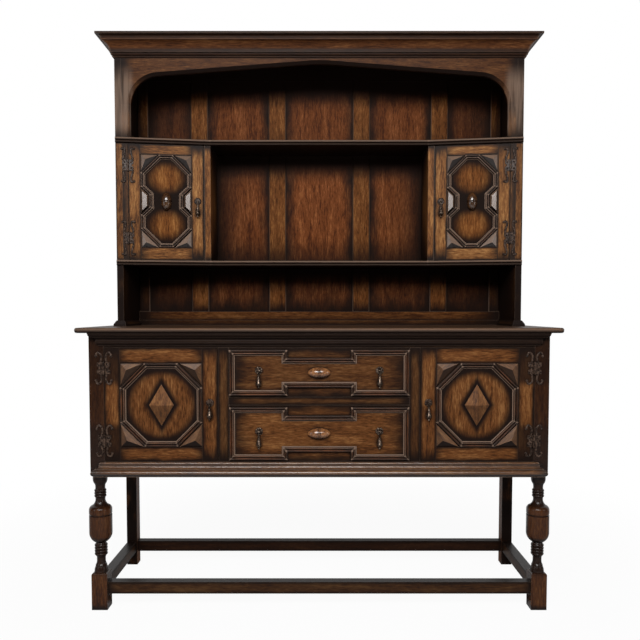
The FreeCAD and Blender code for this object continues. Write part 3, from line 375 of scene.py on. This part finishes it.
def bay_glow(tree):
    """Deep shadow under each shelf and under the arch, and a softer one round the niche."""
    place = rest_place(tree)
    level = place["Z"]
    light = 1.0
    for top, (low, high) in zip(BAY_TOPS, BAY_SHADOWS):
        shadow = product(tree, smooth_step(tree, level, top - low, top - high),
                         smooth_step(tree, level, top + BAY_CUT, top))
        light = calc(tree, "SUBTRACT", light, shadow)
    niche = product(tree, calc(tree, "GREATER_THAN", level, SHELF_MIDDLES[0]),
                    calc(tree, "LESS_THAN", level, SHELF_MIDDLES[1]))
    foot = smooth_step(tree, level, SHELF_TOPS[0] + NICHE_RISE, SHELF_TOPS[0])
    side = smooth_step(tree, away(tree, place["X"]), *NICHE_SIDE)
    rim = product(tree, niche, calc(tree, "MAXIMUM", foot, side))
    return on_front(tree, product(tree, light, dimmed(tree, rim, NICHE_DIM)))


def shelf_glow(tree):
    """Painted light on the upper half of each shelf edge, painted shade below it."""
    light = 0.0
    for top in SHELF_TOPS:
        light = calc(tree, "MAXIMUM", light, level_window(tree, top, SHELF_WINDOW))
    return at_least(tree, light, SHELF_LIGHT)


def post_sheen(tree):
    """Painted grey sheen in soft upright streaks on the upper posts of the rack."""
    place = rest_place(tree)
    side = smooth_step(tree, away(tree, place["X"]), *SHEEN_SIDE)
    foot = smooth_step(tree, place["Z"], *SHEEN_FOOT)
    head = smooth_step(tree, place["Z"], *SHEEN_HEAD)
    streak = noise(tree, rest_point(tree), SHEEN_STREAK, detail=3.0)
    return product(tree, side, facing_front(tree), foot, head, smooth_step(tree, streak, *SHEEN_RANGE))


# Materials

def oak_grain(tree):
    """Tone, fine streaks, dark pores and a cloudy wander, all shifted by the seed of each solid."""
    seed = attribute(tree, "seed", "Fac")
    place = vector_calc(tree, "MULTIPLY_ADD", seed, SEED_SHIFT, attribute(tree, "board"))
    figure = noise(tree, place, FIGURE, detail=4.0, roughness=0.6, distortion=0.6)
    streak = noise(tree, place, STREAK, detail=4.0, roughness=0.7)
    pores = smooth_step(tree, noise(tree, place, PORES, detail=3.0), *PORE_RANGE)
    wander = calc(tree, "SUBTRACT", noise(tree, place, CLOUD, detail=3.0), CLOUD_MEAN)
    tone = calc(tree, "MULTIPLY_ADD", figure, FIGURE_SHARE, product(tree, streak, 1.0 - FIGURE_SHARE))
    return tone, streak, pores, wander


def oak_colour(tree, tone, pores, tint):
    """Deep, middle and pale oak by tone, with stain in the pores."""
    deep, middle, pale = (tuple(value * share for value, share in zip(colour, tint))
                          for colour in (OAK_DEEP, OAK_MIDDLE, OAK_PALE))
    warm = blend_colour(tree, smooth_step(tree, tone, *DEEP_TO_MIDDLE), deep, middle)
    warm = blend_colour(tree, smooth_step(tree, tone, *MIDDLE_TO_PALE), warm, pale)
    return blend_colour(tree, product(tree, pores, PORE_STAIN), warm, STAIN_AND_SHADE)


def rim_shade(tree, wander, end_fade, edge_fade):
    """Light middle of a board, dark at its ends and long edges, with a wandering border."""
    at = board_place(tree)
    half = separate(tree, attribute(tree, "half"))
    lights = []
    for axis, fade in (("X", end_fade), ("Y", edge_fade)):
        inside = calc(tree, "SUBTRACT", half[axis], away(tree, at[axis]))
        lights.append(smooth_step(tree, calc(tree, "MULTIPLY_ADD", wander, fade, inside), 0.0, fade))
    return product(tree, *lights)


def oak(name, glow=None, light=1.0, tint=(1.0, 1.0, 1.0), end_fade=0.05, edge_fade=0.012, shadow=0.03,
        bay=None, bay_open=(0.3, 0.85), dim_rim=False, worn_and_glint=0.3, sheen=0.0, gleam=0.0, arris=0.003,
        wear_and_glint_range=(0.75, 0.45), top=1.0, low=(-0.65, -0.25), gloss=0.45, shine=0.06):
    """Shaded oak: grain along each board, a light middle, a dark stained rim, painted shade in hollows and
    below.

    glow adds shading of its own, and light and tint set the middle of a board. end_fade and edge_fade are
    the widths of the dark rim, shadow the width of painted shade in hollows, and bay the depth of painted
    shade in a deep bay. worn, sheen and gleam are shares of a pale colour: abrasion with a painted
    highlight on the arrises, painted sheen all over and on the posts; dim_rim lets the glow dim these too.
    arris and wear set how wide the pale arrises are. top and low paint shade on faces that look up and
    down, and gloss and shine set the polish.
    """
    material, tree, shader = new_material(name)
    tone, streak, pores, wander = oak_grain(tree)
    lit = glow(tree) if glow else 1.0
    # Painted light and shade by the way a face looks: darker on faces that look down, and on faces that
    # look up where top is under 1
    up = separate(tree, add_node(tree, "ShaderNodeNewGeometry").outputs["True Normal"])["Z"]
    painted_facing_shade = product(tree, smooth_step(tree, up, *low),
                     dimmed(tree, smooth_step(tree, up, *TOP_RANGE), 1.0 - top))

    # Painted shade in hollows, darker where little of the space round a point is open
    open_share = calc(tree, "MULTIPLY_ADD", wander, OPEN_CLOUD, hollow(tree, shadow))
    shade = product(tree, rim_shade(tree, wander, end_fade, edge_fade),
                    smooth_step(tree, open_share, *OPEN_RANGE), lit, painted_facing_shade, light)
    # Painted shade deep in a bay
    if bay:
        shade = product(tree, shade, smooth_step(tree, hollow(tree, bay), *bay_open))
    colour = blend_colour(tree, shade, STAIN_AND_SHADE, oak_colour(tree, tone, pores, tint))

    # Pale colour on the arrises for abrasion with a painted highlight, plus painted sheen all over and on
    # the posts
    wear_and_sheen = smooth_step(tree, hollow(tree, arris, inside=True), *wear_and_glint_range)
    wear_and_sheen = calc(tree, "MULTIPLY_ADD", wear_and_sheen, worn_and_glint, sheen)
    if gleam:
        wear_and_sheen = calc(tree, "MULTIPLY_ADD", post_sheen(tree), gleam, wear_and_sheen)
    if dim_rim:
        wear_and_sheen = product(tree, wear_and_sheen, lit)
    colour = blend_colour(tree, product(tree, wear_and_sheen, painted_facing_shade), colour, OAK_WORN_AND_SHEEN)

    rough = calc(tree, "MULTIPLY_ADD", streak, ROUGH_SPREAD, gloss - ROUGH_SPREAD / 2)
    height = calc(tree, "SUBTRACT", product(tree, streak, STREAK_RELIEF), pores)
    dress(tree, shader, colour, rough, height, OAK_RELIEF, shine)
    return material


def bronze(name, deep, pale, metallic, shine):
    """Antique bronze, brighter where the cloudy patina is thin."""
    material, tree, shader = new_material(name)
    patina = noise(tree, rest_point(tree), PATINA, detail=4.0)
    colour = blend_colour(tree, smooth_step(tree, patina, *PATINA_THIN), deep, pale)
    rough = calc(tree, "MULTIPLY_ADD", patina, BRONZE_ROUGH_SPREAD, BRONZE_ROUGH)
    dress(tree, shader, colour, rough, patina, BRONZE_RELIEF, shine)
    shader.inputs["Metallic"].default_value = metallic
    return material


# Boards: each solid of a node gets its own grain direction, middle and size

def solid_ranges(key, triangles):
    """First and last triangle of each solid, which follow one another in a node's mesh."""
    ranges = []
    loose = set()
    start = 0
    for i, corners in enumerate(key[triangles]):
        for a, b in TRIANGLE_SIDES:
            edge = (corners[a], corners[b])
            back = (corners[b], corners[a])
            if back in loose:
                loose.discard(back)
            else:
                loose.add(edge)
        if not loose:
            ranges.append((start, i + 1))
            start = i + 1
    # What is left is a boss whose seam isn't closed
    if start < len(triangles):
        ranges.append((start, len(triangles)))
    return ranges


def main_direction(directions, weights):
    """Direction that has the most weight, with opposite directions counted as one."""
    totals = {}
    for direction, weight in zip(directions, weights):
        steps = tuple(np.round(direction * DIRECTION_STEPS).astype(int))
        if steps < (0, 0, 0):
            direction = -direction
            steps = tuple(-step for step in steps)
        total, _ = totals.get(steps, (0.0, None))
        totals[steps] = (total + weight, direction)
    return max(totals.values(), key=lambda item: item[0])[1]


def sharp_edges(points, key, triangles, normals):
    """Edges of a solid where two faces meet at an angle, or where a seam is open, as vectors."""
    seen = {}
    for i, corner in enumerate(triangles):
        for a, b in TRIANGLE_SIDES:
            edge = tuple(sorted((key[corner[a]], key[corner[b]])))
            seen.setdefault(edge, []).append((i, points[corner[b]] - points[corner[a]]))
    return [uses[0][1] for uses in seen.values()
            if len(uses) != 2 or normals[uses[0][0]] @ normals[uses[1][0]] < FLAT_EDGE]


def board_axes(points, key, triangles):
    """Grain, width and thickness directions of one solid."""
    corners = points[triangles]
    cross = np.cross(corners[:, 1] - corners[:, 0], corners[:, 2] - corners[:, 0])
    areas = np.linalg.norm(cross, axis=1)
    normals = cross / np.maximum(areas, TINY_AREA)[:, None]
    edges = sharp_edges(points, key, triangles, normals)
    lengths = [np.linalg.norm(edge) for edge in edges]
    grain = main_direction([edge / length for edge, length in zip(edges, lengths)], lengths)
    level = np.abs(normals @ grain) < SIDE_LIMIT
    thick = main_direction(normals[level], areas[level])
    thick = thick - grain * (thick @ grain)
    thick /= np.linalg.norm(thick)
    return np.array([grain, np.cross(thick, grain), thick])


def mark_boards(node, first_seed, upright=False):
    """Board coordinates, half size and seed on every corner; upright, the last solid has upright grain."""
    mesh = node.data
    points = np.zeros(len(mesh.vertices) * 3)
    mesh.vertices.foreach_get("co", points)
    points = points.reshape(-1, 3)
    triangles = np.zeros(len(mesh.polygons) * 3, int)
    mesh.polygons.foreach_get("vertices", triangles)
    triangles = triangles.reshape(-1, 3)
    steps = np.round(points * POINT_STEPS).astype(np.int64)
    key = np.unique(steps, axis=0, return_inverse=True)[1].ravel()
    board = np.zeros((len(triangles) * 3, 3), np.float32)
    half = np.zeros((len(triangles) * 3, 3), np.float32)
    seed = np.zeros(len(triangles) * 3, np.float32)
    solids = solid_ranges(key, triangles)
    for number, (start, end) in enumerate(solids):
        if upright and number == len(solids) - 1:
            axes = UPRIGHT
        else:
            axes = board_axes(points, key, triangles[start:end])
        local = points[triangles[start:end].ravel()] @ axes.T
        low, high = local.min(0), local.max(0)
        board[3 * start:3 * end] = local - (low + high) / 2
        half[3 * start:3 * end] = (high - low) / 2
        seed[3 * start:3 * end] = (first_seed * NODE_SEED_STEP + number * SOLID_SEED_STEP) % 1.0
    for name, kind, field, values in (("board", "FLOAT_VECTOR", "vector", board),
                                      ("half", "FLOAT_VECTOR", "vector", half),
                                      ("seed", "FLOAT", "value", seed)):
        layer = mesh.attributes.new(name, kind, "CORNER")
        layer.data.foreach_set(field, values.ravel())
    return solids


def shade_ornament(node, solids, strips):
    """Second material on the blocks that follow the strips, and a third on the boss, which comes last."""
    chosen = np.zeros(len(node.data.polygons), np.int32)
    chosen[solids[strips][0]:] = 1
    chosen[solids[-1][0]:] = 2
    node.data.polygons.foreach_set("material_index", chosen)


# Oak by material slot, for the boards without an oak of their own
oak_by_slot = {
    "oak_frame": oak("shaded_oak", light=0.33),
    "oak_panel": oak("shaded_oak_panel", light=0.7, edge_fade=0.035, shadow=0.06),
    # Painted highlights on beads that look up and painted shade on faces that look down
    "oak_moulding": oak("dark_oak_moulding", light=0.6, tint=(1.15, 0.88, 0.85), shadow=0.008, worn_and_glint=1.0,
                        arris=0.004, wear_and_glint_range=(0.88, 0.55), low=(-0.6, 0.05), gloss=0.35, shine=0.1),
    "oak_inside": oak("plain_oak", light=0.8),
}

# Base: legs, stretchers, doors and drawers
# Painted shade on the necks of the legs
turned_oak = oak("turned_oak", glow=leg_glow, light=0.24, tint=(1.2, 0.95, 0.7), end_fade=0.02,
                 edge_fade=0.001, worn_and_glint=0.25, gloss=0.24, shine=0.22)
# Back legs that stand in shade: a brighter colour and lighter front faces, painted light
back_post = oak("back_post_oak", glow=back_leg_glow, tint=(2.3, 1.9, 1.7), end_fade=0.002, edge_fade=0.002,
                shadow=0.004, worn_and_glint=0.2)
low_timber = oak("dark_timber", light=0.21, shadow=0.05, gloss=0.4, shine=0.12)
back_timber = oak("back_timber", light=0.08, tint=(1.0, 0.8, 0.8), shadow=0.02, worn_and_glint=0.08)
door_frame = oak("base_door_oak", glow=base_hinge_shade, light=0.66, tint=(1.0, 0.93, 0.9), worn_and_glint=0.1)
door_panel = oak("door_panel_oak", glow=door_glow, light=0.68, tint=(1.0, 0.95, 0.95), edge_fade=0.002)
upper_front = oak("upper_drawer_oak", light=0.44, tint=(1.0, 0.95, 0.92), end_fade=0.09, edge_fade=0.035)
lower_front = oak("drawer_oak", light=0.66, tint=(1.0, 0.95, 0.92), end_fade=0.09, edge_fade=0.035)
# Frieze: dark stain and painted shadow under the countertop
dark_shadowed_moulding = oak("black_oak_moulding_painted_shadow", light=0.03, shadow=0.01, worn_and_glint=0.12, arris=0.004)
# Base moulding: painted highlight on faces that look up, painted shade on those that look down, painted
# sheen
pale_sheened_moulding = oak("rubbed_sheened_oak_moulding", light=0.6, edge_fade=0.001, shadow=0.006, worn_and_glint=0.9, sheen=0.15,
                    arris=0.006, low=(-0.5, 0.4), gloss=0.25, shine=0.6)
# Countertop: painted sheen on the edge and painted shade on the top face
rubbed_sheened_top = oak("rubbed_sheened_oak_top", light=0.7, edge_fade=0.0005, worn_and_glint=0.8, sheen=0.6, arris=0.006, top=0.28,
                 low=(-0.3, 0.25))

# Rack: posts, ends, shelves, doors and back
# Painted sheen on the upper posts, and painted shade deep in the bays of the rack ends
rack_stile = oak("rack_stile_oak", glow=rack_hinge_shade, light=0.7, edge_fade=0.005, worn_and_glint=0.1, sheen=0.05,
                 gleam=0.8)
arch_oak = oak("arch_oak", light=0.37, tint=(1.0, 0.92, 0.9), worn_and_glint=0.15, gleam=0.8)
rack_end = oak("rack_end_oak", light=0.7, end_fade=0.02, edge_fade=0.001, bay=0.25, bay_open=(0.5, 0.95),
               gleam=0.8)
# Painted shade deep in the bays
divider_oak = oak("divider_oak", end_fade=0.03, edge_fade=0.001, shadow=0.004, bay=0.2,
                  bay_open=(0.5, 0.95), worn_and_glint=0.4, arris=0.006)
# Shelf edges: painted light and sheen above, painted shade below
shelf_oak = oak("shelf_oak", glow=shelf_glow, light=0.5, dim_rim=True, worn_and_glint=1.0, sheen=0.75, arris=0.006,
                top=0.6, low=(-0.5, 0.25))
cornice_oak = oak("cornice_oak", glow=cornice_glow, light=0.38, tint=(1.05, 0.9, 0.9), end_fade=0.02,
                  edge_fade=0.001, shadow=0.006, worn_and_glint=0.25, arris=0.005, low=(-1.2, -1.1), shine=0.08)
rack_door_frame = oak("rack_door_oak", glow=rack_hinge_shade, light=0.93, tint=(1.15, 1.2, 1.2),
                      edge_fade=0.007, worn_and_glint=0.1)
rack_panel = oak("rack_panel_oak", glow=rack_glow, light=0.8, tint=(1.05, 0.95, 0.8), edge_fade=0.002,
                 shine=0.02)
# Back of the rack: painted shadows under the shelves and the arch, and painted shade deep in the bays
bay_panel = oak("bay_panel_oak", glow=bay_glow, light=0.66, tint=(1.15, 0.86, 0.8), end_fade=0.1,
                edge_fade=0.055, bay=0.3, bay_open=(0.2, 0.75), dim_rim=True, shine=0.02)
bay_frame = oak("bay_frame_oak", glow=bay_glow, light=0.72, tint=(0.95, 0.85, 0.75), edge_fade=0.003,
                bay=0.16, dim_rim=True, worn_and_glint=0.35, arris=0.004, shine=0.02)

# Blocks and bosses of the ornaments
# Painted light on facets that look up, painted shade on those that look down, and painted sheen
facet_oak = oak("facet_oak", light=0.55, end_fade=0.0005, edge_fade=0.0005, shadow=0.004, worn_and_glint=0.6,
                sheen=0.25, low=(-0.38, 0.28), gloss=0.35, shine=0.15)
rack_facet_oak = oak("rack_facet_oak", light=0.6, end_fade=0.0005, edge_fade=0.0005, shadow=0.004,
                     worn_and_glint=0.7, sheen=0.8, low=(-0.28, 0.3), gloss=0.3, shine=0.8)
lozenge_oak = oak("lozenge_oak", light=0.9, end_fade=0.0005, edge_fade=0.0005, shadow=0.002, worn_and_glint=0.55,
                  sheen=0.12, low=(-0.6, 0.12), shine=0.1)
polished_boss = oak("polished_oak_boss", tint=(1.4, 1.4, 1.5), end_fade=0.0005, edge_fade=0.0005,
                    shadow=0.003, worn_and_glint=0.4, sheen=0.1, low=(-0.9, 0.0), gloss=0.2, shine=0.8)
egg_boss = oak("dark_oak_egg", light=0.3, end_fade=0.0005, edge_fade=0.0005, shadow=0.003, worn_and_glint=0.4,
               low=(-0.9, 0.0), gloss=0.2, shine=0.9)

# Fittings
bronze_cast = bronze("cast_bronze", BRONZE_DEEP, BRONZE_PALE, metallic=0.9, shine=0.5)
hinge_bronze = bronze("hinge_bronze", HINGE_DEEP, HINGE_PALE, metallic=0.0, shine=0.15)

own_material = {
    "front_leg_left": turned_oak,
    "front_leg_right": turned_oak,
    "back_legs": back_post,
    "front_stretcher": low_timber,
    "back_stretcher": back_timber,
    "side_stretchers": low_timber,
    "frieze_moulding": dark_shadowed_moulding,
    "base_moulding": pale_sheened_moulding,
    "rack_foot_mouldings": low_timber,
    "countertop": rubbed_sheened_top,
    "cornice": cornice_oak,
    "arch_head": arch_oak,
    "rack_stiles": rack_stile,
    "rack_end_left": rack_end,
    "rack_end_right": rack_end,
    "cupboard_partitions": divider_oak,
    "top_shelf": shelf_oak,
    "middle_shelf": shelf_oak,
    "back_panels": bay_panel,
    "back_frame": bay_frame,
    "upper_drawer_front": upper_front,
    "lower_drawer_front": lower_front,
    "hinge_post_leaves": hinge_bronze,
}
for side in ("left", "right"):
    own_material[f"base_door_{side}_frame"] = door_frame
    own_material[f"rack_door_{side}_frame"] = rack_door_frame
    own_material[f"base_door_{side}_panel"] = door_panel
    own_material[f"rack_door_{side}_panel"] = rack_panel
    own_material[f"base_door_{side}_fittings"] = hinge_bronze
    own_material[f"rack_door_{side}_fittings"] = hinge_bronze

# Ornaments: number of moulding strips, oak of the blocks and oak of the boss
ornament_of = {
    "base": (8, facet_oak, lozenge_oak),
    "rack": (16, rack_facet_oak, egg_boss),
    "upper": (12, facet_oak, polished_boss),
    "lower": (12, facet_oak, polished_boss),
}

for number, name in enumerate(sorted(nodes)):
    node = nodes[name]
    surfaces = node.data.materials
    surfaces.clear()
    if slot_of[name] == "bronze":
        surfaces.append(own_material.get(name, bronze_cast))
        continue
    kind = name.split("_")[0]
    ornament = name.endswith("ornament")
    solids = mark_boards(node, number, upright=ornament and kind == "base")
    surfaces.append(own_material.get(name, oak_by_slot[slot_of[name]]))
    if ornament:
        strips, block_oak, boss_oak = ornament_of[kind]
        surfaces.append(block_oak)
        surfaces.append(boss_oak)
        shade_ornament(node, solids, strips)


# Studio

def studio_surface(name):
    """Pale floor: to the camera white far off, softly shaded close by; in gloss white behind the object."""
    material, tree, shader = new_material(name)
    place = rest_point(tree)
    at = separate(tree, place)
    path = add_node(tree, "ShaderNodeLightPath").outputs
    pale = blend_colour(tree, noise(tree, place, FLOOR_CLOUD, detail=2.0), FLOOR_DULL, FLOOR_PALE)
    colour = blend_colour(tree, path["Is Camera Ray"], FLOOR_BOUNCE, pale)
    tree.links.new(colour, shader.inputs["Base Color"])
    shader.inputs["Roughness"].default_value = 0.9
    shader.inputs["Specular IOR Level"].default_value = 0.1
    glow = add_node(tree, "ShaderNodeEmission", {"Color": WHITE, "Strength": 1.0})
    far = smooth_step(tree, distance_from(tree, at["X"], at["Y"]), *FLOOR_FADE)
    white = product(tree, path["Is Camera Ray"], at_least(tree, far, FLOOR_WHITE))
    behind = product(tree, path["Is Glossy Ray"], smooth_step(tree, at["Y"], *FLOOR_BEHIND))
    inputs = {0: calc(tree, "MAXIMUM", white, behind), 1: shader.outputs[0], 2: glow.outputs[0]}
    mix = add_node(tree, "ShaderNodeMixShader", inputs)
    tree.links.new(mix.outputs[0], tree.nodes["Material Output"].inputs["Surface"])
    return material


def area_lamp(name, place, target, size, power):
    lamp = bpy.data.lights.new(name, "AREA")
    lamp.shape = "RECTANGLE"
    lamp.size, lamp.size_y = size
    lamp.energy = power
    holder = bpy.data.objects.new(name, lamp)
    holder.location = place
    x, y, z = np.array(target) - np.array(place)
    holder.rotation_euler = (math.atan2(math.hypot(x, y), -z), 0.0, math.atan2(-x, y))
    bpy.context.scene.collection.objects.link(holder)


def world_light():
    """White to the camera; for gloss, white behind the object and dim on the camera's side; dim fill."""
    world = bpy.data.worlds.new("studio")
    world.use_nodes = True
    tree = world.node_tree
    path = add_node(tree, "ShaderNodeLightPath").outputs
    way = separate(tree, add_node(tree, "ShaderNodeTexCoord").outputs["Generated"])
    behind = product(tree, path["Is Glossy Ray"], smooth_step(tree, way["Y"], *WORLD_BEHIND))
    strength = calc(tree, "MAXIMUM", calc(tree, "MAXIMUM", path["Is Camera Ray"], behind), WORLD_FILL)
    background = tree.nodes["Background"]
    background.inputs["Color"].default_value = WHITE
    tree.links.new(strength, background.inputs["Strength"])
    bpy.context.scene.world = world


def floor():
    corners = [(x * FLOOR_HALF, y * FLOOR_HALF, 0.0) for x, y in ((-1, -1), (1, -1), (1, 1), (-1, 1))]
    mesh = bpy.data.meshes.new("floor")
    mesh.from_pydata(corners, [], [(0, 1, 2, 3)])
    mesh.materials.append(studio_surface("pale_floor"))
    plane = bpy.data.objects.new("floor", mesh)
    plane.location.z = -FLOOR_DROP
    bpy.context.scene.collection.objects.link(plane)


def camera():
    lens = bpy.data.cameras.new("camera")
    lens.sensor_width = SENSOR
    lens.lens = FOCAL_PIXELS / FRAME_PIXELS * SENSOR
    lens.shift_y = CENTRE_SHIFT / FRAME_PIXELS
    holder = bpy.data.objects.new("camera", lens)
    holder.location = CAMERA_AT
    holder.rotation_euler = (math.radians(90 - CAMERA_DOWN), 0, 0)
    bpy.context.scene.collection.objects.link(holder)
    bpy.context.scene.camera = holder


floor()
world_light()
for name, lamp in LAMPS.items():
    area_lamp(name, **lamp)
camera()
bpy.context.scene.view_settings.view_transform = "Standard"
